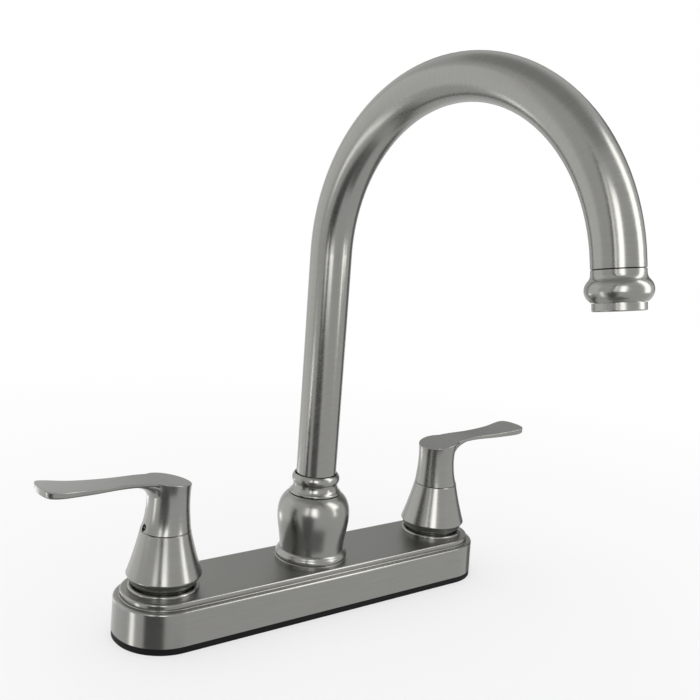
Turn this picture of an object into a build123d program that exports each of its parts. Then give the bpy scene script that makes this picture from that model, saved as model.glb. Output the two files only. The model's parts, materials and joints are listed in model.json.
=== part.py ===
from build123d import *
import os
from math import cos, radians, sin

# Two-handle high-arc kitchen faucet for an 8 in deck, in millimetres.
# +Z is up and -Y faces the user. The origin lies on the sink deck, midway between the inlet shanks.
# Hot pieces stand at -X. Each cold piece is the mirror image of its hot one.

# Layout
HANDLE_X = 101.6  # half of the 8 in spacing between the shanks
SPOUT_HEADING = 4.73  # degrees that the resting spout is turned from -Y towards +X
WATERWAY_Z = 16.0  # height of the cross tubes above the sink deck

# Deck gasket and deck cover
BASE_LENGTH = 260.0
BASE_WIDTH = 58.0
BASE_CORNER = 28.0
GASKET_TOP = 3.9
GASKET_INSET = 0.2
GASKET_HOLE_GAP = 0.4
GASKET_LIP = (2.9, 1.6, 2.4)  # inset from the edge, thickness and height of the locating lip
WALL_DRAFT = 1.8
LEDGE_Z = 24.0
LEDGE_INSET = 4.2
LEDGE_EDGE_R = 1.4
LEDGE_FOOT_R = 0.5
DECK_TOP = 27.8
DECK_EDGE_R = 1.1
COVER_WALL = 2.4
HANDLE_RING = (20.3, 18.0, 2.5)  # outer radius, inner radius and height of the ring round each handle
HANDLE_RING_EDGE_R = 1.1
VALVE_HOLE_R = 15.4
POST_HOLE_R = 13.9
RIB_PLACES = (-68.0, -40.0, 40.0, 68.0)
RIB_THICKNESS = 2.0
RIB_FOOT = 12.0
RIB_TUBE_GAP = 0.8

# Valve bodies and waterway
SHANK_R = 10.45  # 1/2-14 straight pipe thread over its crests
SHANK_END = -48.0
SHANK_GROOVE = (-30.0, -28.0, 9.6)  # low, high and radius of the relief between the two thread lengths
SHANK_CHAMFER = 0.8
INLET_R = 6.0
VALVE_FLANGE = (19.0, 7.5)  # radius and top height
VALVE_R = 14.8
VALVE_TOP = 37.0
CHAMBER_FLOOR = 9.5
CHAMBER = (11.6, 24.0)  # radius and top of the wide part round the cartridge windows
CARTRIDGE_BORE_R = 10.2
BOSS_R = 8.2
BOSS_REACH = 22.0
TUBE_R = 6.35
TUBE_BORE_R = 5.4
TUBE_SOCKET_R = 6.4
TUBE_SOCKET_DEPTH = 6.0
POST_FOOT_R = 17.0
POST_FOOT_TOP = 25.0
POST_R = 13.4
POST_TOP = 69.5
POST_BORE = (9.58, 40.0)  # radius and floor of the bore that takes the spout tail
POST_WATER = (7.0, 9.5)  # radius and floor of the water passage below it

# Fixings under the sink deck
SINK_DECK = 6.0  # deck thickness that the washers and nuts are drawn at
WASHER = (19.0, 10.9, 2.0)  # outer radius, hole radius and thickness
NUT_HUB = (15.5, 10.6, 14.0)  # outer radius, bore radius and height
NUT_WING = (27.0, 4.5, 11.0)  # reach, thickness and height
NUT_WINGS = 4
NUT_WING_ANGLE = 45.0
NUT_WING_EDGE_R = 1.5

# Bonnets
BONNET_FOOT_R = 17.5
BONNET_THREAD_R = 14.9
BONNET_BEVEL = ((18.3, 31.3), (21.0, 36.1))  # radius and height where the bevel starts and ends
BONNET_RIM = ((21.35, 36.6), (21.3, 37.3))
BONNET_WAIST = (17.45, 49.8)
BONNET_TOP = (14.3, 62.4)
BONNET_TOP_EDGE = 0.3
BONNET_TOP_Z = 62.7
BONNET_HOLE_R = 9.0
BONNET_CAVITY = ((12.4, 60.0), (14.9, 47.0))

# Quarter-turn ceramic cartridges
CARTRIDGE_R = 10.0
CARTRIDGE_FOOT = 10.7
CARTRIDGE_ROOF = 22.5
DISC_CHAMBER_R = 8.9
WINDOW = (9.0, 16.6, 21.6)  # width, low and high of the two side windows
HEX_FLATS = 21.0
HEX_TOP = 43.0
NECK_R = 8.6
NECK_FLOOR = 54.7
NECK_TOP = 57.0
NECK_RIM_R = 6.7
STEM_BORE_R = 4.6
SEAL = (8.7, 5.6, 9.5, 12.5)  # outer radius, inner radius, low and high
FIXED_DISC = (8.7, 12.5, 15.5)  # radius, low and high
KEY_GAP = 0.1
DISC_KEY = (9.7, 3.0)  # reach and width of the two keys that stop the fixed disc turning
MOVING_DISC = (8.55, 15.55, 18.55)
PORT = (7.2, 2.4, 74.0)  # outer radius, inner radius and sweep in degrees of each disc port
CARTRIDGE_RING = (9.25, 0.85, 27.5)  # major radius, minor radius and height
STEM_R = 4.55
STEM_SHOULDER = (8.4, 20.4, 22.2)
STEM_TANG = (13.0, 3.0, 17.0)  # length, width and low end of the tang that turns the moving disc
GROOVE_SIDE_GAP = 0.15
GROOVE_FLOOR_GAP = 0.05
STEM_RINGS = (4.0, 0.55, (31.0, 35.0))  # major radius, minor radius and heights
STEM_FLATS = (3.6, 54.9)  # half width over the flats and their low end
CLIP = (6.2, 3.25, 57.3, 58.1)  # outer radius, groove radius, low and high
CLIP_MOUTH = 5.6
CLIP_GAP = 0.1
SPLINE = (4.0, 3.6, 59.0, 76.0)  # crest radius, root radius, low and high
SPLINE_TEETH = 20
SPLINE_GAP = 0.1
STOP_WASHER = (6.3, 8.3, 55.05, 56.75)  # radius, lug reach, low and high
STOP_LUG = 40.0
QUARTER_TURN = 90.0
STOP_SLACK = 4.0
STOP_FIT = 0.06

# Handles: the lever runs to -X of the handle's own axis
HANDLE_FOOT = 63.15
HANDLE_SPIGOT = (8.4, 59.6)
SOCKET_TOP = 77.5
NECK_SECTIONS = (  # height, radius and shift of the circle away from the lever
    (63.15, 14.2, 0.0),
    (66.0, 13.5, 0.45),
    (70.0, 12.85, 0.8),
    (76.0, 12.25, 1.05),
    (82.0, 12.1, 1.2),
    (87.0, 12.5, 1.05),
    (92.0, 13.6, 0.7),
    (100.0, 15.7, 0.4),
)
WEB_SECTIONS = (  # height, reach and half width of the web that carries the lever
    (80.0, 9.6, 8.2),
    (83.0, 10.6, 8.8),
    (86.0, 12.6, 9.0),
    (88.2, 15.2, 9.0),
    (89.8, 18.6, 9.0),
    (91.0, 23.0, 8.8),
    (92.2, 29.0, 8.4),
    (93.2, 31.0, 8.0),
)
WEB_BACK = 2.0  # how far the web reaches past the axis inside the neck
LEVER_SIDE = (  # distance from the axis and half width
    (0.0, 10.4),
    (10.0, 10.0),
    (17.0, 9.1),
    (25.0, 8.05),
    (33.0, 7.95),
    (44.0, 8.85),
    (56.0, 10.15),
    (66.0, 11.55),
    (70.6, 10.2),
    (72.5, 5.5),
)
LEVER_TIP = 72.9
LEVER_ROOT_AIM = (-1, -0.05)  # direction of the plan's side where it leaves the neck
LEVER_TOP = (  # distance from the axis and height of the top, which falls to the heel and lifts at the tip
    (-20.0, 87.7),
    (0.0, 91.8),
    (14.0, 93.6),
    (30.0, 94.35),
    (50.0, 94.95),
    (64.0, 96.3),
    (80.0, 99.2),
)
LEVER_UNDER = ((0.0, 90.4), (26.0, 91.85), (50.0, 91.8), (64.0, 92.6), (80.0, 94.9))
LEVER_ROOT_END = 30.0  # distance within which the root edges lie
LEVER_EDGE_R = 1.1
LEVER_ROOT_R = 5.0
HANDLE_TOP_EDGE_R = 0.4
HANDLE_SKY = NECK_SECTIONS[-1][0]
SET_SCREW = (2.0, 5.0, 12.0, 65.4)  # radius, inner end, outer end and height
SET_SCREW_GAP = 0.05
SET_SCREW_KEY = (2.0, 2.2)  # hexagon across flats and depth

# Spout hub and collar
HUB_BORE = ((15.2, 62.0), (18.6, 55.0), (17.6, 33.0))  # radius and height of the inner wall's corners
HUB_LIP = (22.65, 28.9)
HUB_GROOVE = (22.15, 29.3)
HUB_BEAD = ((22.55, 31.0), (21.75, 32.8))
HUB_COVE = ((21.1, 33.9), (20.15, 34.7))
HUB_BELLY = ((21.7, 48.0), (22.5, 56.5), (21.35, 64.0), (16.3, 70.3))
COLLAR_SKIRT = (15.0, 61.0)
COLLAR_SEAT = 70.4
COLLAR_FLANGE = (15.6, (15.95, 71.2), (15.55, 72.0))
COLLAR_COVE = ((14.15, 74.0), (13.75, 76.4))
COLLAR_BEAD = ((14.0, 77.3), (14.8, 79.8), (14.0, 82.2))
COLLAR_TOP = 82.8
COLLAR_TOP_EDGE = 0.5
COLLAR_THREAD_R = 13.45
COLLAR_SHOULDER = 73.4
COLLAR_MOUTH_R = 12.75

# Spout
SPOUT_R = 12.35
SPOUT_BORE_R = 11.15
SPOUT_FOOT = 72.5
SPOUT_RISE = 218.7  # height where the bend starts
SPOUT_BEND_R = 98.3
SPOUT_SWEEP = 170.0
SPOUT_TIP = 3.4
TAIL_FLANGE = (13.1, 70.35)
TAIL_PLUG = (11.1, 84.0)
TAIL_R = 9.5
TAIL_END = 43.0
TAIL_BORE_R = 6.5
TAIL_GROOVE = (7.9, 2.0)  # radius and width
TAIL_RINGS = (8.74, 0.78, (49.0, 58.0))  # major radius, minor radius and heights
THRUST_WASHER = (13.1, 9.9, 69.5, 70.3)  # outer radius, inner radius, low and high
GLIDE_RING = (13.35, 12.7, 72.55, 73.35)

# Nozzle and aerator, measured from the spout tube's end along the flow
NOZZLE_SPIGOT = (11.1, -7.0)
NOZZLE_BORE_R = 9.6
NOZZLE_NECK = (12.35, 2.4)
NOZZLE_SEAM = 0.5  # width and depth of the step that marks the joint with the tube
NOZZLE_COVE = ((12.75, 4.1), (13.9, 5.7))
NOZZLE_BULB = ((15.35, 9.3), (12.9, 14.6))
NOZZLE_END = 15.0
NOZZLE_END_EDGE = 0.4
NOZZLE_THREAD = (10.9, 5.0)
AERATOR_THREAD = (10.8, 8.0)
AERATOR_SKIRT = (12.15, 15.25, 19.0)
AERATOR_EDGE_R = 0.6
AERATOR_BORE = (9.3, 17.6)
AERATOR_LIP_R = 8.5
INSERT = (9.2, 14.4, 17.55)
SCREEN = (9.2, 13.7, 14.3)
AERATOR_WASHER = (10.6, 7.0, 5.1, 7.9)
INSERT_HOLE_R = 0.95
SCREEN_HOLE_R = 0.7
HOLE_RINGS = 3
HOLE_STEP = 2.45

ON_BASE = (Align.CENTER, Align.CENTER, Align.MIN)
HOT_AXIS = Pos(-HANDLE_X, 0, 0)
UP = (0, 0, 1)
SIDE_VIEW = Plane.XZ.offset(-BASE_WIDTH / 2)  # side view, one half width behind the middle
CUT = 1.0  # overrun of a shape that cuts or joins another
NEAR = 0.1  # margin for picking edges by their place


# Shared shapes


def rod(radius, low, high):
    """Round bar on the Z axis between two heights."""
    return Pos(0, 0, low) * Cylinder(radius, high - low, align=ON_BASE)


def ring(outer, inner, low, high):
    """Plain round tube on the Z axis between two heights."""
    return rod(outer, low, high) - rod(inner, low, high)


def cross_rod(radius, start, end, height):
    """Round bar along X between two places, at a height."""
    bar = Cylinder(radius, end - start, align=ON_BASE)
    return Pos(start, 0, height) * Rot(0, 90, 0) * bar


def o_ring(major, minor, height):
    return Pos(0, 0, height) * Torus(major, minor)


def ring_groove(outer, major, minor, height):
    """Room for an O-ring in a round bar."""
    half = minor + GROOVE_SIDE_GAP
    return ring(outer + CUT, major - minor - GROOVE_FLOOR_GAP, height - half, height + half)


def profile(start, *stops):
    """Closed face. A point ends a straight run, a pair ends an arc and a list is a smooth curve."""
    curves = []
    here = start
    for stop in stops:
        if isinstance(stop, list):
            curves.append(Spline(here, *stop))
            here = stop[-1]
        elif isinstance(stop[0], tuple):
            curves.append(ThreePointArc(here, *stop))
            here = stop[1]
        else:
            curves.append(Line(here, stop))
            here = stop
    if here != start:
        curves.append(Line(here, start))
    return make_face(curves)


def turned(start, *stops):
    """Solid turned about Z from an outline of radii and heights."""
    return revolve(Plane.XZ * profile(start, *stops), Axis.Z)


def polar(radius, angle):
    return (radius * cos(radians(angle)), radius * sin(radians(angle)))


def sector(outer, inner, middle, sweep, low, high):
    """Segment of a round tube, centred on an angle in degrees."""
    first = middle - sweep / 2
    last = middle + sweep / 2
    face = profile(
        polar(inner, first),
        polar(outer, first),
        (polar(outer, middle), polar(outer, last)),
        polar(inner, last),
        (polar(inner, middle), polar(inner, first)),
    )
    return extrude(Pos(0, 0, low) * face, high - low, dir=UP)


def splined_bar(crest, root, low, high):
    """Toothed bar on the Z axis."""
    step = 360 / SPLINE_TEETH
    points = []
    for tooth in range(SPLINE_TEETH):
        points.append(polar(crest, tooth * step))
        points.append(polar(root, (tooth + 0.5) * step))
    return extrude(Pos(0, 0, low) * make_face(Polyline(*points, close=True)), high - low, dir=UP)


def base_outline(inset):
    """Plan of the base, drawn in by an inset all round."""
    return RectangleRounded(BASE_LENGTH - 2 * inset, BASE_WIDTH - 2 * inset, BASE_CORNER - inset)


def slab(inset, low, high, taper=0):
    return extrude(Pos(0, 0, low) * base_outline(inset), high - low, taper=taper)


# Base


def deck_gasket():
    inset, thickness, height = GASKET_LIP
    plate = slab(GASKET_INSET, 0, GASKET_TOP)
    lip_top = GASKET_TOP + height
    plate += slab(inset, GASKET_TOP, lip_top) - slab(inset + thickness, GASKET_TOP, lip_top)
    for x in (-HANDLE_X, HANDLE_X):
        plate -= Pos(x, 0, 0) * rod(SHANK_R + GASKET_HOLE_GAP, 0, lip_top)
    return plate


def deck_cover():
    lower = slab(0, GASKET_TOP, LEDGE_Z, taper=WALL_DRAFT)
    lower = fillet(lower.faces().sort_by(Axis.Z)[-1].edges(), LEDGE_EDGE_R)
    upper = slab(LEDGE_INSET, LEDGE_Z, DECK_TOP)
    upper = fillet(upper.faces().sort_by(Axis.Z)[-1].edges(), DECK_EDGE_R)
    cover = lower + upper
    reach = BASE_WIDTH / 2 - LEDGE_INSET + NEAR
    foot = [
        edge
        for edge in cover.edges().filter_by_position(Axis.Z, LEDGE_Z - NEAR, LEDGE_Z + NEAR)
        if edge.bounding_box().max.Y < reach and edge.bounding_box().min.Y > -reach
    ]
    cover = fillet(foot, LEDGE_FOOT_R)
    outer, inner, height = HANDLE_RING
    for x in (-HANDLE_X, HANDLE_X):
        boss = ring(outer, inner, DECK_TOP - CUT, DECK_TOP + height)
        boss = fillet(boss.faces().sort_by(Axis.Z)[-1].edges(), HANDLE_RING_EDGE_R)
        cover += Pos(x, 0, 0) * boss
    roof = DECK_TOP - COVER_WALL
    hollow = slab(COVER_WALL, GASKET_TOP, LEDGE_Z - COVER_WALL, taper=WALL_DRAFT)
    hollow += slab(LEDGE_INSET + COVER_WALL, GASKET_TOP, roof)
    for x in RIB_PLACES:
        rib = Pos(x, 0, RIB_FOOT) * Box(RIB_THICKNESS, BASE_WIDTH, roof - RIB_FOOT, align=ON_BASE)
        tube_room = TUBE_R + RIB_TUBE_GAP
        rib -= cross_rod(tube_room, x - RIB_THICKNESS, x + RIB_THICKNESS, WATERWAY_Z)
        notch = Box(2 * RIB_THICKNESS, 2 * tube_room, WATERWAY_Z - RIB_FOOT, align=ON_BASE)
        rib -= Pos(x, 0, RIB_FOOT) * notch
        hollow -= rib
    cover -= hollow
    for x in (-HANDLE_X, HANDLE_X):
        cover -= Pos(x, 0, 0) * rod(VALVE_HOLE_R, GASKET_TOP, DECK_TOP + CUT)
    return cover - rod(POST_HOLE_R, GASKET_TOP, DECK_TOP + CUT)


def hot_valve_body():
    groove_low, groove_high, groove_r = SHANK_GROOVE
    flange_r, flange_top = VALVE_FLANGE
    chamber_r, chamber_top = CHAMBER
    body = turned(
        (INLET_R, SHANK_END),
        (SHANK_R - SHANK_CHAMFER, SHANK_END),
        (SHANK_R, SHANK_END + SHANK_CHAMFER),
        (SHANK_R, groove_low),
        (groove_r, groove_low),
        (groove_r, groove_high),
        (SHANK_R, groove_high),
        (SHANK_R, GASKET_TOP),
        (flange_r, GASKET_TOP),
        (flange_r, flange_top),
        (VALVE_R, flange_top),
        (VALVE_R, VALVE_TOP),
        (CARTRIDGE_BORE_R, VALVE_TOP),
        (CARTRIDGE_BORE_R, chamber_top),
        (chamber_r, chamber_top),
        (chamber_r, CHAMBER_FLOOR),
        (INLET_R, CHAMBER_FLOOR),
    )
    boss = cross_rod(BOSS_R, chamber_r, BOSS_REACH, WATERWAY_Z)
    body += boss - rod(chamber_r, CHAMBER_FLOOR, chamber_top)
    body -= cross_rod(TUBE_BORE_R, chamber_r - TUBE_BORE_R, BOSS_REACH, WATERWAY_Z)
    body -= cross_rod(TUBE_SOCKET_R, BOSS_REACH - TUBE_SOCKET_DEPTH, BOSS_REACH, WATERWAY_Z)
    return HOT_AXIS * body


def hot_cross_tube():
    start = -HANDLE_X + BOSS_REACH - TUBE_SOCKET_DEPTH
    end = -BOSS_REACH + TUBE_SOCKET_DEPTH
    tube = cross_rod(TUBE_R, start, end, WATERWAY_Z)
    return tube - cross_rod(TUBE_BORE_R, start, end, WATERWAY_Z)


def spout_post():
    bore_r, bore_floor = POST_BORE
    water_r, water_floor = POST_WATER
    post = rod(POST_FOOT_R, GASKET_TOP, POST_FOOT_TOP) + rod(POST_R, GASKET_TOP, POST_TOP)
    post += cross_rod(BOSS_R, -BOSS_REACH, BOSS_REACH, WATERWAY_Z)
    post -= rod(bore_r, bore_floor, POST_TOP) + rod(water_r, water_floor, bore_floor)
    post -= cross_rod(TUBE_BORE_R, -BOSS_REACH, BOSS_REACH, WATERWAY_Z)
    for start in (-BOSS_REACH, BOSS_REACH - TUBE_SOCKET_DEPTH):
        post -= cross_rod(TUBE_SOCKET_R, start, start + TUBE_SOCKET_DEPTH, WATERWAY_Z)
    return post


def hot_friction_washer():
    outer, hole, thickness = WASHER
    return HOT_AXIS * ring(outer, hole, -SINK_DECK - thickness, -SINK_DECK)


def hot_wing_nut():
    outer, bore, height = NUT_HUB
    reach, thickness, wing_height = NUT_WING
    top = -SINK_DECK - WASHER[2]
    nut = rod(outer, top - height, top)
    for wing in range(NUT_WINGS):
        blade = Box(reach, thickness, wing_height, align=(Align.MIN, Align.CENTER, Align.MAX))
        blade = fillet(blade.faces().sort_by(Axis.X)[-1].edges(), NUT_WING_EDGE_R)
        nut += Rot(0, 0, wing * 360 / NUT_WINGS + NUT_WING_ANGLE) * Pos(0, 0, top) * blade
    return HOT_AXIS * (nut - rod(bore, top - height, top))


def hot_bonnet():
    return HOT_AXIS * turned(
        (BONNET_THREAD_R, DECK_TOP),
        (BONNET_FOOT_R, DECK_TOP),
        (BONNET_FOOT_R, BONNET_BEVEL[0][1]),
        *BONNET_BEVEL,
        BONNET_RIM,
        (BONNET_WAIST, BONNET_TOP),
        (BONNET_TOP[0] - BONNET_TOP_EDGE, BONNET_TOP_Z),
        (BONNET_HOLE_R, BONNET_TOP_Z),
        (BONNET_HOLE_R, BONNET_CAVITY[0][1]),
        *BONNET_CAVITY,
    )


# Cartridge


def hot_cartridge_body():
    body = rod(CARTRIDGE_R, CARTRIDGE_FOOT, VALVE_TOP) + rod(NECK_R, VALVE_TOP, NECK_TOP)
    hexagon = RegularPolygon(HEX_FLATS / 2, 6, major_radius=False)
    body += extrude(Pos(0, 0, VALVE_TOP) * hexagon, HEX_TOP - VALVE_TOP)
    body -= rod(DISC_CHAMBER_R, CARTRIDGE_FOOT, CARTRIDGE_ROOF)
    body -= rod(STEM_BORE_R, CARTRIDGE_ROOF, NECK_FLOOR) + rod(NECK_RIM_R, NECK_FLOOR, NECK_TOP)
    gap = QUARTER_TURN + STOP_LUG + 2 * STOP_SLACK
    body -= sector(NECK_R + CUT, NECK_RIM_R - CUT, 0, gap, NECK_FLOOR, NECK_TOP)
    width, low, high = WINDOW
    body -= Pos(0, 0, low) * Box(4 * CARTRIDGE_R, width, high - low, align=ON_BASE)
    body -= disc_keys(KEY_GAP)
    return HOT_AXIS * (body - ring_groove(CARTRIDGE_R, *CARTRIDGE_RING))


def disc_keys(gap):
    """Two keys across the fixed disc, or the slots for them."""
    reach, width = DISC_KEY
    low = FIXED_DISC[1]
    high = FIXED_DISC[2]
    if gap:
        low = CARTRIDGE_FOOT
    return Pos(0, 0, low) * Box(width + 2 * gap, 2 * (reach + 2 * gap), high - low, align=ON_BASE)


def ports(middle, low, high, outer):
    """The two ports of a ceramic disc."""
    inner = PORT[1]
    sweep = PORT[2]
    pair = sector(outer, inner, middle, sweep, low, high)
    return pair + sector(outer, inner, middle + 180, sweep, low, high)


def hot_cartridge_o_ring():
    return HOT_AXIS * o_ring(*CARTRIDGE_RING)


def hot_seat_seal():
    return HOT_AXIS * ring(*SEAL)


def hot_fixed_disc():
    radius, low, high = FIXED_DISC
    disc = rod(radius, low, high) + disc_keys(0) & rod(DISC_KEY[0], low, high)
    return HOT_AXIS * (disc - ports(0, low, high, PORT[0]))


def tang(gap):
    """Bar under the stem's shoulder that turns the moving disc."""
    length, width, low = STEM_TANG
    return Pos(0, 0, low) * Box(length + gap, width + gap, STEM_SHOULDER[1] - low, align=ON_BASE)


def hot_moving_disc():
    radius, low, high = MOVING_DISC
    disc = rod(radius, low, high) - ports(90, low, high, radius + CUT)
    return HOT_AXIS * (disc - tang(KEY_GAP))


def hot_stem():
    shoulder_r, shoulder_low, shoulder_high = STEM_SHOULDER
    half_flats, flats_low = STEM_FLATS
    crest, root, spline_low, spline_high = SPLINE
    stem = rod(shoulder_r, shoulder_low, shoulder_high) + tang(0)
    shaft = rod(STEM_R, shoulder_low, spline_low)
    major, minor, heights = STEM_RINGS
    for height in heights:
        shaft -= ring_groove(STEM_R, major, minor, height)
    keyed = Box(2 * half_flats, 4 * STEM_R, spline_low - flats_low, align=ON_BASE)
    keyed = Pos(0, 0, flats_low) * keyed
    shaft -= rod(STEM_R + CUT, flats_low, spline_low) - keyed
    shaft -= ring(STEM_R + CUT, CLIP[1], CLIP[2] - CLIP_GAP, CLIP[3] + CLIP_GAP)
    return HOT_AXIS * (stem + shaft + splined_bar(crest, root, spline_low, spline_high))


def hot_stem_o_rings():
    major, minor, heights = STEM_RINGS
    return HOT_AXIS * Compound(children=[o_ring(major, minor, height) for height in heights])


def hot_stop_washer():
    radius, reach, low, high = STOP_WASHER
    half_flats = STEM_FLATS[0] + STOP_FIT
    washer = rod(radius, low, high) + sector(reach, CUT, -QUARTER_TURN / 2, STOP_LUG, low, high)
    keyhole = rod(STEM_R + STOP_FIT, low, high)
    keyhole &= Pos(0, 0, low) * Box(2 * half_flats, 4 * STEM_R, high - low, align=ON_BASE)
    return HOT_AXIS * (washer - keyhole)


def hot_retaining_clip():
    outer, groove, low, high = CLIP
    mouth = Box(CLIP_MOUTH, 2 * outer, high - low, align=(Align.CENTER, Align.MIN, Align.MIN))
    mouth = Pos(0, 0, low) * mouth
    return HOT_AXIS * (ring(outer, groove + STOP_FIT, low, high) - mouth)


# Handles


def lever_blank():
    """Lever from its plan and its side view, open at the top, with its lower edges rounded."""
    half = [(-x, y) for x, y in LEVER_SIDE]
    near = Spline(*half, (-LEVER_TIP, 0), tangents=(LEVER_ROOT_AIM, (0, -1)))
    far = mirror(near, about=Plane.XZ)
    root_x, root_y = half[0]
    plan = make_face([near, far, Line((root_x, -root_y), (root_x, root_y))])
    start, *run = [(-x, z) for x, z in LEVER_UNDER]
    low = start[1] - LEVER_EDGE_R
    blank = extrude(Pos(0, 0, low) * plan, HANDLE_SKY - low, dir=UP)
    room = profile(start, run, (run[-1][0], low), (start[0], low))
    blank -= extrude(SIDE_VIEW * room, BASE_WIDTH)
    under = max(blank.faces(), key=lambda face: -face.normal_at().Z)
    return fillet(under.edges().filter_by(lambda edge: edge.center().X < -LEVER_EDGE_R), LEVER_EDGE_R)


def lever_web():
    """Web that grows out of the neck and runs into the underside of the lever."""
    sections = []
    for height, reach, half_width in WEB_SECTIONS:
        oval = Ellipse((reach + WEB_BACK) / 2, half_width)
        sections.append(Pos((WEB_BACK - reach) / 2, 0, height) * oval)
    return loft(sections)


def handle_shape():
    """Neck and lever with a filleted root, cut by the waved top and rounded along its rim."""
    neck = loft([Pos(shift, 0, height) * Circle(radius) for height, radius, shift in NECK_SECTIONS])
    handle = neck + lever_blank()
    boxes = [(edge, edge.bounding_box()) for edge in handle.edges()]
    root = [edge for edge, box in boxes if box.min.X > -LEVER_ROOT_END and box.max.X < 0]
    handle = fillet(root, LEVER_ROOT_R) + lever_web()
    heel, *run = [(-x, z) for x, z in LEVER_TOP]
    above = profile(heel, run, (run[-1][0], HANDLE_SKY), (heel[0], HANDLE_SKY))
    handle -= extrude(SIDE_VIEW * above, BASE_WIDTH)
    top = max(handle.faces(), key=lambda face: face.normal_at().Z)
    return fillet(top.edges(), HANDLE_TOP_EDGE_R)


def hot_handle():
    handle = handle_shape()
    spigot_r, spigot_low = HANDLE_SPIGOT
    handle += rod(spigot_r, spigot_low, HANDLE_FOOT + CUT)
    crest, root = SPLINE[:2]
    handle -= splined_bar(crest + SPLINE_GAP, root + SPLINE_GAP, spigot_low, SOCKET_TOP)
    handle -= cross_rod(SET_SCREW[0] + SET_SCREW_GAP, -NECK_SECTIONS[0][1] - CUT, 0, SET_SCREW[3])
    return HOT_AXIS * handle


def hot_set_screw():
    radius, inner, outer, height = SET_SCREW
    flats, depth = SET_SCREW_KEY
    screw = cross_rod(radius, -outer, -inner, height)
    key = extrude(RegularPolygon(flats / 2, 6, major_radius=False), depth)
    return HOT_AXIS * (screw - Pos(-outer, 0, height) * Rot(0, 90, 0) * key)


# Spout


def spout_hub():
    return turned(
        (HUB_BORE[2][0], DECK_TOP),
        (HUB_LIP[0], DECK_TOP),
        HUB_LIP,
        HUB_GROOVE,
        HUB_BEAD,
        HUB_COVE,
        list(HUB_BELLY),
        (HUB_BORE[0][0], HUB_BELLY[-1][1]),
        *HUB_BORE,
    )


def spout_collar():
    skirt_r, skirt_low = COLLAR_SKIRT
    flange_r = COLLAR_FLANGE[0]
    return turned(
        (COLLAR_THREAD_R, skirt_low),
        (skirt_r, skirt_low),
        (skirt_r, COLLAR_SEAT),
        (flange_r, COLLAR_SEAT),
        COLLAR_FLANGE[1:],
        COLLAR_COVE,
        COLLAR_BEAD[0],
        COLLAR_BEAD[1:],
        (COLLAR_BEAD[2][0] - COLLAR_TOP_EDGE, COLLAR_TOP),
        (COLLAR_MOUTH_R + COLLAR_TOP_EDGE, COLLAR_TOP),
        (COLLAR_MOUTH_R, COLLAR_TOP - COLLAR_TOP_EDGE),
        (COLLAR_MOUTH_R, COLLAR_SHOULDER),
        (COLLAR_THREAD_R, COLLAR_SHOULDER),
    )


def spout_tube():
    turn = radians(SPOUT_SWEEP)
    middle = radians(SPOUT_SWEEP / 2)
    foot = (0, 0, SPOUT_FOOT)
    shoulder = (0, 0, SPOUT_RISE)
    crown = bend_point(middle)
    end = bend_point(turn)
    bend = ThreePointArc(shoulder, crown, end)
    path = Wire([Line(foot, shoulder), bend, Line(end, tip_point(SPOUT_TIP))])
    section = Pos(0, 0, SPOUT_FOOT) * (Circle(SPOUT_R) - Circle(SPOUT_BORE_R))
    return turned_to_heading(sweep(section, path=path))


def bend_point(turn):
    """Point of the spout's centre line after a turn in radians."""
    return (0, -SPOUT_BEND_R * (1 - cos(turn)), SPOUT_RISE + SPOUT_BEND_R * sin(turn))


def flow_direction():
    turn = radians(SPOUT_SWEEP)
    return (0, -sin(turn), cos(turn))


def tip_point(distance):
    """Point beyond the bend, along the flow."""
    start = bend_point(radians(SPOUT_SWEEP))
    return tuple(a + distance * b for a, b in zip(start, flow_direction()))


def turned_to_heading(part):
    return Rot(0, 0, SPOUT_HEADING) * part


def at_tip(part):
    """Places a piece that was drawn along +Z at the spout tube's end, along the flow."""
    end = Plane(origin=tip_point(SPOUT_TIP), x_dir=(1, 0, 0), z_dir=flow_direction())
    return turned_to_heading(end.location * part)


def spout_tail():
    flange_r, flange_low = TAIL_FLANGE
    plug_r, plug_top = TAIL_PLUG
    tail = rod(TAIL_R, TAIL_END, flange_low) + rod(flange_r, flange_low, SPOUT_FOOT)
    tail += rod(plug_r, SPOUT_FOOT, plug_top)
    groove_r, width = TAIL_GROOVE
    for height in TAIL_RINGS[2]:
        tail -= ring(TAIL_R + CUT, groove_r, height - width / 2, height + width / 2)
    return turned_to_heading(tail - rod(TAIL_BORE_R, TAIL_END, plug_top))


def spout_tail_o_rings():
    major, minor, heights = TAIL_RINGS
    return turned_to_heading(Compound(children=[o_ring(major, minor, height) for height in heights]))


def spout_nozzle():
    spigot_r, spigot_end = NOZZLE_SPIGOT
    thread_r, thread_start = NOZZLE_THREAD
    neck_r, neck_end = NOZZLE_NECK
    return at_tip(
        turned(
            (NOZZLE_BORE_R, spigot_end),
            (spigot_r, spigot_end),
            (spigot_r, 0),
            (neck_r - NOZZLE_SEAM, 0),
            (neck_r - NOZZLE_SEAM, NOZZLE_SEAM),
            (neck_r, NOZZLE_SEAM),
            (neck_r, neck_end),
            NOZZLE_COVE,
            NOZZLE_BULB,
            (NOZZLE_BULB[1][0] - NOZZLE_END_EDGE, NOZZLE_END),
            (thread_r, NOZZLE_END),
            (thread_r, thread_start),
            (NOZZLE_BORE_R, thread_start),
        )
    )


def aerator_housing():
    thread_r, thread_start = AERATOR_THREAD
    skirt_r, skirt_start, skirt_end = AERATOR_SKIRT
    bore_r, bore_end = AERATOR_BORE
    skirt = rod(skirt_r, skirt_start, skirt_end)
    skirt = fillet(skirt.faces().sort_by(Axis.Z)[-1].edges(), AERATOR_EDGE_R)
    housing = skirt + rod(thread_r, thread_start, skirt_start)
    housing -= rod(bore_r, thread_start, bore_end) + rod(AERATOR_LIP_R, bore_end, skirt_end)
    return at_tip(housing)


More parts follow.
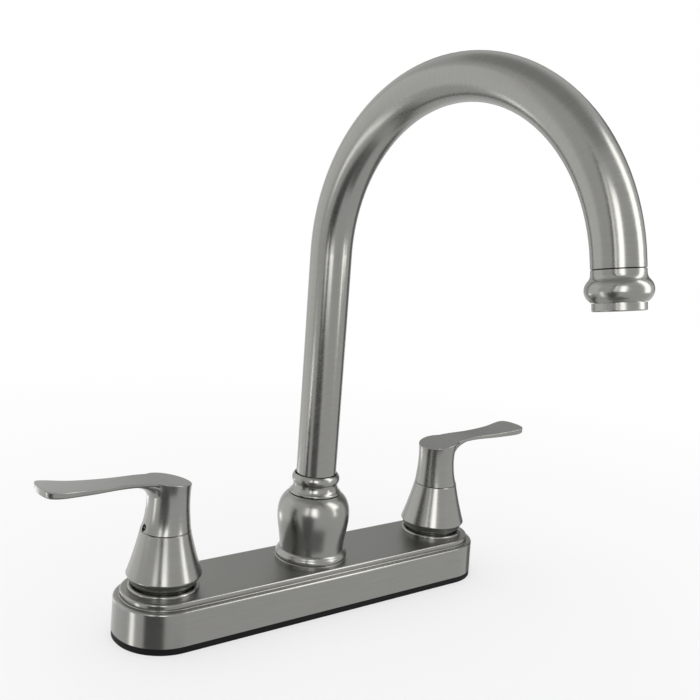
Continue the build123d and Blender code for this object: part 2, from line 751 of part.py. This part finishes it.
def pierced_disc(radius, low, high, hole_r):
    """Disc with one middle hole and rings of six, twelve and eighteen more."""
    disc = rod(radius, low, high) - rod(hole_r, low, high)
    for k in range(1, HOLE_RINGS + 1):
        for hole in range(6 * k):
            x, y = polar(k * HOLE_STEP, hole * 60 / k)
            disc -= Pos(x, y, 0) * rod(hole_r, low, high)
    return disc


def aerator_insert():
    return at_tip(pierced_disc(*INSERT, INSERT_HOLE_R))


def aerator_screen():
    return at_tip(pierced_disc(*SCREEN, SCREEN_HOLE_R))


def aerator_washer():
    return at_tip(ring(*AERATOR_WASHER))


SINGLE = {
    "deck_gasket": deck_gasket,
    "deck_cover": deck_cover,
    "spout_post": spout_post,
    "spout_hub": spout_hub,
    "spout_collar": spout_collar,
    "spout_thrust_washer": lambda: ring(*THRUST_WASHER),
    "spout_glide_ring": lambda: ring(*GLIDE_RING),
    "spout_tube": spout_tube,
    "spout_tail": spout_tail,
    "spout_tail_o_rings": spout_tail_o_rings,
    "spout_nozzle": spout_nozzle,
    "aerator_housing": aerator_housing,
    "aerator_insert": aerator_insert,
    "aerator_screen": aerator_screen,
    "aerator_washer": aerator_washer,
}

PAIRED = {
    "valve_body": hot_valve_body,
    "cross_tube": hot_cross_tube,
    "friction_washer": hot_friction_washer,
    "wing_nut": hot_wing_nut,
    "bonnet": hot_bonnet,
    "cartridge_body": hot_cartridge_body,
    "cartridge_o_ring": hot_cartridge_o_ring,
    "seat_seal": hot_seat_seal,
    "fixed_disc": hot_fixed_disc,
    "moving_disc": hot_moving_disc,
    "stem": hot_stem,
    "stem_o_rings": hot_stem_o_rings,
    "stop_washer": hot_stop_washer,
    "retaining_clip": hot_retaining_clip,
    "handle": hot_handle,
    "set_screw": hot_set_screw,
}

os.makedirs("parts", exist_ok=True)
for name, make in SINGLE.items():
    export_step(make(), f"parts/{name}.step")
for name, make in PAIRED.items():
    piece = make()
    export_step(piece, f"parts/hot_{name}.step")
    export_step(mirror(piece, about=Plane.YZ), f"parts/cold_{name}.step")
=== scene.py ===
import json
import math

import bmesh
import bpy
from mathutils import Matrix, Vector


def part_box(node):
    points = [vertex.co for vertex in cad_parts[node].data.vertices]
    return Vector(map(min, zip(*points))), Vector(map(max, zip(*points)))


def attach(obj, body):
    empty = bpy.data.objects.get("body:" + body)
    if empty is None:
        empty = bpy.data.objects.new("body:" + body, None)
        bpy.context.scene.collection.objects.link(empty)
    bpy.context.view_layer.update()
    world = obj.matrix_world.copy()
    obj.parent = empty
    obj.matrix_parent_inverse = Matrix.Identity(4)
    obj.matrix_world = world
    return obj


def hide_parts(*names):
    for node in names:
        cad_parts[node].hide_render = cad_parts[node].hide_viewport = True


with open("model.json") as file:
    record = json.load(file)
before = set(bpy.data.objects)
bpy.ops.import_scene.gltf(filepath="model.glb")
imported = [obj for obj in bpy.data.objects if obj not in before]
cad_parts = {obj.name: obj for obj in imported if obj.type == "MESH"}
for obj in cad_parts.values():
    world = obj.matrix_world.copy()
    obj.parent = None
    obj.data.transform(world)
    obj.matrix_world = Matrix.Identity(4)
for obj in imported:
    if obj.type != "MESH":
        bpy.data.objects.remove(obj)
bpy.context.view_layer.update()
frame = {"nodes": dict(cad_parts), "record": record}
nodes = frame["nodes"]

# Handles and shanks, from the frame, in metres
MM = 0.001
DECK_LEVEL = 0.0  # the frame's origin lies on the sink deck
inlet = next(mount for mount in frame["record"]["mounts"] if mount["name"] == "cold_inlet")
HANDLE_X = inlet["pos_m"][0]
SHANK_R = inlet["dims"]["r_mm"] * MM
INLET_LOW = inlet["pos_m"][2] - inlet["dims"]["length_mm"] * MM / 2
INLET_HIGH = inlet["pos_m"][2] + inlet["dims"]["length_mm"] * MM / 2
GASKET_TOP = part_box("deck_cover")[0][2]

# Pipe thread of the shanks: two lengths with a plain groove between them
THREAD_PITCH = 0.001814  # 14 threads to the inch
THREAD_DEPTH = 0.0011
THREAD_PROFILE = ((0.0, 0.0), (0.125, 0.0), (0.5, 1.0), (0.625, 1.0))  # shares of pitch and depth
THREAD_MARGIN = 0.0002  # the thread has no points closer than this to its ends
EARLY_TURNS = 2  # rows start this far below a band, so that every column begins on its rim
GROOVE_WIDTH = 0.002
SHANK_BANDS = (  # low edge, high edge and the height where the thread ends
    (INLET_LOW, INLET_HIGH, INLET_HIGH),
    (INLET_HIGH + GROOVE_WIDTH, GASKET_TOP, DECK_LEVEL),
)
CRISP_EDGE = math.radians(30)
CLOSE = 0.000002

# Spout: bend radius, height of the bend's centre, its sweep, the straight run at the tip, the heading
BEND_R = 0.0983
BEND_Z = 0.2187
SWEEP = math.radians(170.0)
TIP_RUN = 0.0034
HEADING = math.radians(4.73)
GAP_SHADE_EDGE = (0.00055, 0.00065)  # where the painted shade line in the gap fades, measured along the flow
CROWN_HEIGHTS = (0.25, 0.30)  # where the tube turns more satin

# Camera at the photograph's viewing angle
YAW = math.radians(-37.711)
PITCH = math.radians(11.521)
ROLL = math.radians(4.289)
TARGET = Vector((-0.004416, -0.035108, 0.151510))
DISTANCE = 0.554451
LENS = 49.488
SENSOR = 36.0
SHIFT = (-0.00343, 0.03733)
CLIP = (0.01, 100.0)

# Colours
NICKEL = (0.245, 0.2435, 0.2285)
# painted shade in the gap where the nozzle meets the tube
GAP_SHADE_DARK = (0.015, 0.015, 0.015, 1.0)
GASKET_BLACK = (0.008, 0.008, 0.009)
SEAL_BLACK = (0.02, 0.02, 0.021)
NUT_BLACK = (0.045, 0.045, 0.05)
VALVE_BRASS = (0.62, 0.46, 0.20)
CARTRIDGE_BRASS = (0.66, 0.50, 0.23)
COPPER = (0.66, 0.36, 0.22)
CERAMIC = (0.78, 0.77, 0.72)
NYLON = (0.72, 0.72, 0.68)
AERATOR_GREY = (0.55, 0.57, 0.58)
STOP_STEEL = (0.5, 0.5, 0.49)
SCREW_STEEL = (0.22, 0.22, 0.23)
WHITE = (1, 1, 1, 1)

# Variation of each kind of surface: factors of its colour, changes of its roughness, depth in metres
NICKEL_TINT = (0.965, 1.035)
NICKEL_SHADES = (0.35, 0.65)  # the noise from darkest to lightest
MARKS_SHARE = 0.75  # share of the brush marks in the shade, which clouds make up to 1
MARKS_ROUGH = (-0.015, 0.02)
MARKS_DEPTH = 0.000004
MARKS_STRENGTH = 0.25
CLOUD_SCALE = 38.0
CLOUD_ROUGH = (-0.01, 0.015)
SPECK_SCALE = 900.0
SPECK_ROUGH = (-0.01, 0.015)
MOULDED_TINT = (0.86, 1.14)
MOULDED_CLOUDS = 45.0
MOULDED_CLOUD_ROUGH = (-0.03, 0.03)
MOULDED_GRAIN_ROUGH = (-0.05, 0.06)
MOULDED_STRENGTH = 0.35
MACHINED_TINT = (0.8, 1.12)
MACHINED_CLOUDS = 60.0
MACHINED_ROUGH = (-0.07, 0.09)
MACHINED_DEPTH = 0.000016
MACHINED_STRENGTH = 0.9
UP_FACING = (0.97, 0.995)  # upward share of the normal on the cover's flat top
LEVER_FACING = (0.6, 0.8)  # upward share of the normal where neck marks turn into lever marks

# Brush marks: how finely the noise runs along each of three directions
DECK_MARKS = (40.0, 900.0, 900.0)
TURNED_MARKS = (1.2, 1300.0, 1300.0)
TUBE_MARKS = (130.0, 40.0, 4.0)
LATHE_MARKS = (60.0, 60.0, 1600.0)
LEVER_MARKS = 1300.0
LEVER_LENGTHWISE = 25.0
LEVER_SIDEWAYS = 30.0

# Stage
SQUARE = ((-1, -1), (1, -1), (1, 1), (-1, 1))
FLOOR_HALF = 40.0
FLOOR_CLOUDS = 6.0
FLOOR_TINT = (0.83, 0.85)
FLOOR_ROUGH = (0.65, 0.75)
FLOOR_FADE = (0.15, 0.7)  # distance from the origin over which the floor fades to white
FLOOR_WHITE = (0.6, 1.0)  # share of white at those distances
CARD_FADE = 0.03
LYING_FLAT = (math.radians(90), 0.0, 0.0)
LAMP_PLACE = Vector((-0.35, 0.35, 1.1))
LAMP_AIM = Vector((0.0, -0.05, 0.15))
LAMP_SIZE = 1.2
LAMP_POWER = 2.2
FILL = 0.9


class Graph:
    """Small helper that adds nodes to one material or world."""

    def __init__(self, tree):
        self.tree = tree

    def add(self, kind, **sockets):
        node = self.tree.nodes.new(kind)
        for name, value in sockets.items():
            self.put(node, name, value)
        return node

    def put(self, node, name, value):
        """Set or link an input. The name i2 means the input at index 2, and _ stands for a space."""
        numbered = name[0] == "i" and name[1:].isdigit()
        socket = node.inputs[int(name[1:]) if numbered else name.replace("_", " ")]
        if isinstance(value, bpy.types.NodeSocket):
            self.tree.links.new(value, socket)
        else:
            socket.default_value = value

    def math(self, operation, a, b=0.0):
        node = self.add("ShaderNodeMath", i0=a, i1=b)
        node.operation = operation
        return node.outputs[0]

    def vector(self, x, y, z):
        return self.add("ShaderNodeCombineXYZ", X=x, Y=y, Z=z).outputs[0]

    def stretched(self, values, factors):
        """Vector of three values, each times its own factor."""
        return self.vector(*(self.math("MULTIPLY", *pair) for pair in zip(values, factors)))

    def noise(self, vector, scale, detail=2.0, rough=0.5):
        node = self.add("ShaderNodeTexNoise", Vector=vector, Scale=scale, Detail=detail, Roughness=rough)
        return node.outputs["Fac"]

    def spread(self, value, low, high, from_low=0.3, from_high=0.7):
        """Value from one range to another, held at the ends. Noise mostly fills the default range."""
        node = self.add("ShaderNodeMapRange", i0=value, i1=from_low, i2=from_high, i3=low, i4=high)
        return node.outputs[0]

    def blend(self, factor, first, second):
        node = self.add("ShaderNodeMix")
        node.data_type = "RGBA"
        self.put(node, "i0", factor)
        self.put(node, "i6", first)
        self.put(node, "i7", second)
        return node.outputs[2]

    def tint(self, factor, colour, darker, lighter):
        """Colour that varies from darker to lighter, given as factors."""
        return self.blend(factor, scaled(colour, darker), scaled(colour, lighter))


def scaled(colour, factor):
    return (*(part * factor for part in colour), 1.0)


def new_material(name):
    material = bpy.data.materials.new(name)
    material.use_nodes = True
    graph = Graph(material.node_tree)
    shader = material.node_tree.nodes["Principled BSDF"]
    place = graph.add("ShaderNodeTexCoord").outputs["Object"]
    parts = graph.add("ShaderNodeSeparateXYZ", Vector=place)
    return material, graph, shader, place, parts.outputs


def upward_normal(graph):
    normal = graph.add("ShaderNodeNewGeometry").outputs["Normal"]
    return graph.add("ShaderNodeSeparateXYZ", Vector=normal).outputs[2]


# Grain: how the brush marks run over each kind of piece


def grain_along_deck(graph, parts):
    return graph.stretched(parts, DECK_MARKS)


def grain_round_axis(axis_x):
    def grain(graph, parts):
        x, y, z = parts
        across = graph.math("SUBTRACT", x, axis_x)
        turn = graph.math("ARCTAN2", y, across)
        squares = graph.math("ADD", graph.math("MULTIPLY", across, across), graph.math("MULTIPLY", y, y))
        return graph.stretched((turn, graph.math("SQRT", squares), z), TURNED_MARKS)

    return grain


def grain_of_handle(graph, parts):
    """Marks round the neck that turn into marks along the lever on its top and underside."""
    x, y, z = parts
    flat = graph.spread(graph.math("ABSOLUTE", upward_normal(graph)), 0.0, 1.0, *LEVER_FACING)
    upright = graph.math("SUBTRACT", 1.0, flat)
    on_neck = graph.math("MULTIPLY", graph.math("MULTIPLY", z, LEVER_MARKS), upright)
    on_lever = graph.math("MULTIPLY", graph.math("MULTIPLY", y, LEVER_MARKS), flat)
    lengthwise = graph.math("MULTIPLY", x, LEVER_LENGTHWISE)
    sideways = graph.math("MULTIPLY", y, LEVER_SIDEWAYS)
    return graph.vector(lengthwise, graph.math("ADD", on_neck, on_lever), sideways)


def grain_round_tube(graph, parts):
    x, y, z = parts
    reach = graph.math("MULTIPLY", y, -1.0 / math.cos(HEADING))
    turn = graph.math("ARCTAN2", graph.math("SUBTRACT", z, BEND_Z), graph.math("SUBTRACT", BEND_R, reach))
    return graph.stretched((turn, x, reach), TUBE_MARKS)


# Materials


def painted_gap_shade(graph, place):
    """Painted shade line in the gap where the nozzle meets the tube, across the flow at the spout's end.
    """
    rise = math.cos(SWEEP)
    out = math.sin(SWEEP)
    flow = Vector((math.sin(HEADING) * out, -math.cos(HEADING) * out, rise))
    reach = BEND_R * (1 - rise)
    end = Vector((reach * math.sin(HEADING), -reach * math.cos(HEADING), BEND_Z + BEND_R * out))
    dot = graph.add("ShaderNodeVectorMath", i0=place, i1=tuple(flow))
    dot.operation = "DOT_PRODUCT"
    along = graph.math("SUBTRACT", dot.outputs["Value"], end.dot(flow) + TIP_RUN)
    return graph.spread(along, 1.0, 0.0, *GAP_SHADE_EDGE)


def brushed_nickel(name, grain, roughness, painted_shade_line=None, satin_top=0.0, satin_crown=0.0):
    material, graph, shader, place, parts = new_material(name)
    marks = graph.noise(grain(graph, parts), scale=1.0, detail=3.0, rough=0.6)
    clouds = graph.noise(place, CLOUD_SCALE, detail=3.0, rough=0.55)
    specks = graph.noise(place, SPECK_SCALE)
    marks_part = graph.math("MULTIPLY", marks, MARKS_SHARE)
    shade = graph.math("ADD", marks_part, graph.math("MULTIPLY", clouds, 1 - MARKS_SHARE))
    shade = graph.spread(shade, 0.0, 1.0, *NICKEL_SHADES)
    colour = graph.tint(shade, NICKEL, *NICKEL_TINT)
    # painted shade: a dark line in the gap between nozzle and tube, blended into the colour
    if painted_shade_line is not None:
        colour = graph.blend(painted_shade_line(graph, place), colour, GAP_SHADE_DARK)
    rough = graph.spread(marks, *(roughness + change for change in MARKS_ROUGH))
    rough = graph.math("ADD", rough, graph.spread(clouds, *CLOUD_ROUGH))
    rough = graph.math("ADD", rough, graph.spread(specks, *SPECK_ROUGH))
    if satin_top:
        rough = graph.math("ADD", rough, graph.spread(upward_normal(graph), 0.0, satin_top, *UP_FACING))
    if satin_crown:
        rough = graph.math("ADD", rough, graph.spread(parts[2], 0.0, satin_crown, *CROWN_HEIGHTS))
    relief = graph.add("ShaderNodeBump", Strength=MARKS_STRENGTH, Distance=MARKS_DEPTH, Height=marks)
    shader.inputs["Metallic"].default_value = 1.0
    graph.put(shader, "Base_Color", colour)
    graph.put(shader, "Roughness", rough)
    graph.put(shader, "Normal", relief.outputs[0])
    return material


def moulded(name, colour, roughness, fineness, depth, coat=0.0, gloss=0.5):
    """Rubber, plastic or ceramic with a grain: fineness is the scale of its noise."""
    material, graph, shader, place, _ = new_material(name)
    grain = graph.noise(place, fineness, detail=3.0, rough=0.55)
    clouds = graph.noise(place, MOULDED_CLOUDS, detail=3.0)
    rough = graph.spread(grain, *(roughness + change for change in MOULDED_GRAIN_ROUGH))
    rough = graph.math("ADD", rough, graph.spread(clouds, *MOULDED_CLOUD_ROUGH))
    relief = graph.add("ShaderNodeBump", Strength=MOULDED_STRENGTH, Distance=depth, Height=grain)
    graph.put(shader, "Base_Color", graph.tint(graph.spread(clouds, 0.0, 1.0), colour, *MOULDED_TINT))
    graph.put(shader, "Roughness", rough)
    graph.put(shader, "Normal", relief.outputs[0])
    shader.inputs["Coat Weight"].default_value = coat
    shader.inputs["Specular IOR Level"].default_value = gloss
    return material


def machined(name, colour, roughness):
    """Bare metal with the fine rings that a lathe leaves."""
    material, graph, shader, place, parts = new_material(name)
    rings = graph.noise(graph.stretched(parts, LATHE_MARKS), scale=1.0)
    clouds = graph.noise(place, MACHINED_CLOUDS, detail=4.0, rough=0.6)
    rough = graph.spread(rings, *(roughness + change for change in MACHINED_ROUGH))
    relief = graph.add("ShaderNodeBump", Strength=MACHINED_STRENGTH, Distance=MACHINED_DEPTH, Height=rings)
    shader.inputs["Metallic"].default_value = 1.0
    graph.put(shader, "Base_Color", graph.tint(graph.spread(clouds, 0.0, 1.0), colour, *MACHINED_TINT))
    graph.put(shader, "Roughness", rough)
    graph.put(shader, "Normal", relief.outputs[0])
    return material


hot_axis = grain_round_axis(-HANDLE_X)
cold_axis = grain_round_axis(HANDLE_X)
middle_axis = grain_round_axis(0.0)
by_node = {
    "deck_cover": brushed_nickel("cover_nickel", grain_along_deck, roughness=0.19, satin_top=0.15),
    "spout_hub": brushed_nickel("hub_nickel", middle_axis, roughness=0.23),
    "spout_collar": brushed_nickel("collar_nickel", middle_axis, roughness=0.2),
    "spout_tube": brushed_nickel("spout_nickel", grain_round_tube, roughness=0.2, satin_crown=0.05),
    # The nozzle's colour carries a painted shade line in the gap at its joint with the tube.
    "spout_nozzle": brushed_nickel("nozzle_nickel", grain_round_tube, roughness=0.22, painted_shade_line=painted_gap_shade),
    "aerator_housing": brushed_nickel("aerator_nickel", grain_round_tube, roughness=0.25),
    "hot_bonnet": brushed_nickel("hot_bonnet_nickel", hot_axis, roughness=0.22),
    "cold_bonnet": brushed_nickel("cold_bonnet_nickel", cold_axis, roughness=0.22),
    "hot_handle": brushed_nickel("hot_handle_nickel", grain_of_handle, roughness=0.23),
    "cold_handle": brushed_nickel("cold_handle_nickel", grain_of_handle, roughness=0.23),
    "deck_gasket": moulded("gasket_rubber", GASKET_BLACK, 0.6, fineness=900.0, depth=0.00006, gloss=0.1),
}
by_slot = {
    "seal_rubber": moulded("seal_rubber", SEAL_BLACK, 0.45, fineness=1200.0, depth=0.00004),
    "valve_brass": machined("valve_brass", VALVE_BRASS, roughness=0.36),
    "cartridge_brass": machined("cartridge_brass", CARTRIDGE_BRASS, roughness=0.28),
    "tube_copper": machined("tube_copper", COPPER, roughness=0.32),
    "disc_ceramic": moulded("disc_ceramic", CERAMIC, 0.2, fineness=700.0, depth=0.00001, coat=0.4),
    "washer_nylon": moulded("washer_nylon", NYLON, 0.5, fineness=800.0, depth=0.00004),
    "nut_plastic": moulded("nut_plastic", NUT_BLACK, 0.5, fineness=700.0, depth=0.00008),
    "aerator_plastic": moulded("aerator_plastic", AERATOR_GREY, 0.42, fineness=900.0, depth=0.00003),
    "stop_steel": machined("stop_steel", STOP_STEEL, roughness=0.3),
    "screw_steel": machined("screw_steel", SCREW_STEEL, roughness=0.34),
}
for entry in frame["record"]["subparts"]:
    name = entry["node"]
    mesh = nodes[name].data
    mesh.materials.clear()
    mesh.materials.append(by_node.get(name) or by_slot[entry["material_slot"]])


# Inlet shanks: each valve body again, with its pipe thread cut into the plain bands of the shank


def rim_of_shank(body, axis_x, level):
    """The shank's points at one height, in order round the axis."""

    def on_rim(vert):
        reach = math.hypot(vert.co.x - axis_x, vert.co.y)
        return abs(vert.co.z - level) < CLOSE and abs(reach - SHANK_R) < CLOSE

    found = [vert for vert in body.verts if on_rim(vert)]
    return sorted(found, key=lambda vert: math.atan2(vert.co.y, vert.co.x - axis_x))


def cut_thread(body, axis_x, low, high, top):
    """Swap the shank's plain band from low to high for a helical thread that runs out at top."""
    start = rim_of_shank(body, axis_x, low)
    end = rim_of_shank(body, axis_x, high)
    columns = len(start)
    steps = len(THREAD_PROFILE)
    rims = set(start), set(end)
    band = [
        face
        for face in body.faces
        if all(vert in rims[0] or vert in rims[1] for vert in face.verts)
        and all(any(vert in rim for vert in face.verts) for rim in rims)
    ]
    bmesh.ops.delete(body, geom=band, context="FACES")
    made = {}

    def corner(column, row):
        """Point of the helix at one column and row, or the rim's point beyond the thread's ends."""
        turn, step = divmod(row, steps)
        share, cut = THREAD_PROFILE[step]
        turn += column // columns  # past the last column, the helix goes on one turn higher
        column %= columns
        z = low + THREAD_PITCH * (turn + share + column / columns)
        if z < low + THREAD_MARGIN:
            return start[column]
        if z > top - THREAD_MARGIN:
            return end[column]
        key = column, turn, step
        if key not in made:
            fade = min(1.0, (z - low) / THREAD_PITCH, (top - z) / THREAD_PITCH)
            reach = 1.0 - cut * fade * THREAD_DEPTH / SHANK_R
            rim = start[column].co
            made[key] = body.verts.new((axis_x + (rim.x - axis_x) * reach, rim.y * reach, z))
        return made[key]

    turns = math.ceil((top - low) / THREAD_PITCH)
    for column in range(columns):
        for row in range(-EARLY_TURNS * steps, turns * steps):
            cell = (column, row), (column + 1, row), (column + 1, row + 1), (column, row + 1)
            corners = list(dict.fromkeys(corner(*place) for place in cell))
            if len(corners) > 2:
                body.faces.new(corners)


def threaded_body(node, axis_x):
    plain = nodes[node].data
    body = bmesh.new()
    corners = [body.verts.new(vert.co) for vert in plain.vertices]
    for face in plain.polygons:
        body.faces.new([corners[index] for index in face.vertices])
    bmesh.ops.remove_doubles(body, verts=body.verts, dist=CLOSE)
    for low, high, top in SHANK_BANDS:
        cut_thread(body, axis_x, low, high, top)
    bmesh.ops.recalc_face_normals(body, faces=body.faces)
    mesh = bpy.data.meshes.new(node + "_threaded")
    body.to_mesh(mesh)
    body.free()
    mesh.shade_smooth()
    mesh.set_sharp_from_angle(angle=CRISP_EDGE)
    mesh.materials.append(by_slot["valve_brass"])
    piece = bpy.data.objects.new(node + "_threaded", mesh)
    bpy.context.scene.collection.objects.link(piece)
    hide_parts(node)
    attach(piece, "base")


threaded_body("hot_valve_body", -HANDLE_X)
threaded_body("cold_valve_body", HANDLE_X)


# Stage: floor, cards, lamp and world


def sheet_of(name, corners):
    """Flat four-cornered piece of the stage."""
    mesh = bpy.data.meshes.new(name)
    mesh.from_pydata(corners, [], [(0, 1, 2, 3)])
    piece = bpy.data.objects.new(name, mesh)
    bpy.context.scene.collection.objects.link(piece)
    return piece


def pale_floor():
    material, graph, shader, place, _ = new_material("pale_floor")
    clouds = graph.noise(place, FLOOR_CLOUDS)
    graph.put(shader, "Base_Color", graph.tint(clouds, WHITE[:3], *FLOOR_TINT))
    graph.put(shader, "Roughness", graph.spread(clouds, *FLOOR_ROUGH))
    reach = graph.add("ShaderNodeVectorMath", i0=place)
    reach.operation = "LENGTH"
    share = graph.spread(reach.outputs["Value"], *FLOOR_WHITE, *FLOOR_FADE)
    rays = graph.add("ShaderNodeLightPath").outputs
    share = graph.math("MULTIPLY", rays["Is Camera Ray"], share)
    white = graph.add("ShaderNodeEmission", Color=WHITE, Strength=1.0)
    mixed = graph.add("ShaderNodeMixShader", i0=share, i1=shader.outputs[0], i2=white.outputs[0])
    graph.put(material.node_tree.nodes["Material Output"], "Surface", mixed.outputs[0])
    return material


# The sink deck that the gasket stands on. Metal sees the studio instead of it.
floor = sheet_of("sink_deck", [(FLOOR_HALF * x, FLOOR_HALF * y, DECK_LEVEL) for x, y in SQUARE])
floor.data.materials.append(pale_floor())
floor.visible_glossy = False


def panel(name, place, turn, half, tall, level, soft):
    """Studio card with faded edges that only reflections see. Level 1 is white."""
    piece = sheet_of(name, [(half * x, 0.0, tall * z) for x, z in SQUARE])
    piece.location = place
    piece.rotation_euler = turn
    look, graph, shader, _, parts = new_material(name)
    look.node_tree.nodes.remove(shader)
    across = graph.spread(graph.math("ABSOLUTE", parts[0]), 1.0, 0.0, half * (1.0 - soft), half)
    upward = graph.spread(graph.math("ABSOLUTE", parts[2]), 1.0, 0.0, tall - CARD_FADE, tall)
    share = graph.math("MULTIPLY", across, upward)
    glow = graph.add("ShaderNodeEmission", Color=WHITE, Strength=level)
    clear = graph.add("ShaderNodeBsdfTransparent")
    faded = graph.add("ShaderNodeMixShader", i0=share, i1=clear.outputs[0], i2=glow.outputs[0])
    graph.put(look.node_tree.nodes["Material Output"], "Surface", faded.outputs[0])
    look.cycles.emission_sampling = "FRONT_BACK"
    piece.data.materials.append(look)
    piece.visible_camera = False
    piece.visible_diffuse = False
    piece.visible_shadow = False


def card(name, azimuth, distance, width, low, high, level, soft=0.35):
    """Upright card at an azimuth in degrees that is 0 in front of the object and grows to the left."""
    turn = math.radians(azimuth)
    place = (-distance * math.sin(turn), -distance * math.cos(turn), (low + high) / 2)
    panel(name, place, (0.0, 0.0, -turn), width / 2, (high - low) / 2, level, soft)


# Cards, named by what they add to the reflections and by where they stand
card("dark_body", azimuth=49.0, distance=0.48, width=0.34, low=-0.8, high=0.11, level=0.2)
card("dark_camera", azimuth=47.0, distance=0.47, width=0.09, low=0.0, high=0.6, level=0.1, soft=0.5)
card("dark_far", azimuth=60.0, distance=3.0, width=1.2, low=-3.0, high=0.0, level=0.15)
card("window_front", azimuth=32.0, distance=1.15, width=0.44, low=0.07, high=1.0, level=4.8)
card("window_left", azimuth=56.0, distance=1.1, width=0.22, low=0.06, high=1.0, level=3.6)
card("window_right", azimuth=-46.0, distance=1.1, width=0.6, low=0.0, high=1.8, level=4.6)
card("plain_right", azimuth=-58.2, distance=0.341, width=0.25, low=-0.5, high=0.2, level=1.0, soft=0.1)
card("bright_left_low", azimuth=98.0, distance=1.0, width=0.22, low=-1.0, high=0.0, level=3.6)
card("bright_left", azimuth=140.0, distance=1.3, width=1.6, low=-0.5, high=1.2, level=1.4)
card("grey_right", azimuth=-100.0, distance=1.2, width=0.7, low=-1.0, high=1.0, level=0.25)
card("grey_behind", azimuth=-135.0, distance=1.5, width=1.6, low=-0.1, high=1.5, level=0.64)
card("dark_behind_right", azimuth=-126.0, distance=1.4, width=0.6, low=0.22, high=0.52, level=0.35)
card("bright_tip", azimuth=162.0, distance=1.25, width=0.45, low=-0.47, high=-0.3, level=4.2)
panel("dark_below", (-0.10, -0.34, -0.25), LYING_FLAT, half=0.22, tall=0.2, level=0.3, soft=0.5)
panel("dark_ceiling", (-0.12, -0.05, 1.1), LYING_FLAT, half=0.6, tall=0.65, level=0.6, soft=0.6)

# One soft lamp for the floor's shadow, hidden from reflections
lamp_data = bpy.data.lights.new("overhead", "AREA")
lamp_data.shape = "RECTANGLE"
lamp_data.size = LAMP_SIZE
lamp_data.size_y = LAMP_SIZE
lamp_data.energy = LAMP_POWER
lamp = bpy.data.objects.new("overhead", lamp_data)
lamp.location = LAMP_PLACE
lamp.rotation_euler = (LAMP_AIM - LAMP_PLACE).to_track_quat("-Z", "Y").to_euler()
lamp.visible_camera = False
lamp.visible_glossy = False
bpy.context.scene.collection.objects.link(lamp)

# White studio background
world = bpy.data.worlds.new("studio")
bpy.context.scene.world = world
world.use_nodes = True
world.node_tree.nodes.clear()
graph = Graph(world.node_tree)
rays = graph.add("ShaderNodeLightPath").outputs
mirrored = graph.math("MAXIMUM", rays["Is Glossy Ray"], rays["Is Transmission Ray"])
seen = graph.math("MAXIMUM", rays["Is Camera Ray"], mirrored)
fill = graph.add("ShaderNodeBackground", Color=WHITE, Strength=FILL)
backdrop = graph.add("ShaderNodeBackground", Color=WHITE, Strength=1.0)
both = graph.add("ShaderNodeMixShader", i0=seen, i1=fill.outputs[0], i2=backdrop.outputs[0])
graph.add("ShaderNodeOutputWorld", Surface=both.outputs[0])

# Camera
back = Vector((math.sin(YAW) * math.cos(PITCH), -math.cos(YAW) * math.cos(PITCH), math.sin(PITCH)))
right = (-back).cross(Vector((0, 0, 1))).normalized()
up = right.cross(-back)
rolled_right = right * math.cos(ROLL) + up * math.sin(ROLL)
rolled_up = up * math.cos(ROLL) - right * math.sin(ROLL)
camera_data = bpy.data.cameras.new("camera")
camera_data.sensor_width = SENSOR
camera_data.lens = LENS
camera_data.shift_x, camera_data.shift_y = SHIFT
camera_data.clip_start, camera_data.clip_end = CLIP
camera = bpy.data.objects.new("camera", camera_data)
turn = Matrix((rolled_right, rolled_up, back)).transposed()
camera.matrix_world = Matrix.Translation(TARGET + back * DISTANCE) @ turn.to_4x4()
bpy.context.scene.collection.objects.link(camera)
bpy.context.scene.camera = camera
bpy.context.scene.view_settings.view_transform = "Standard"
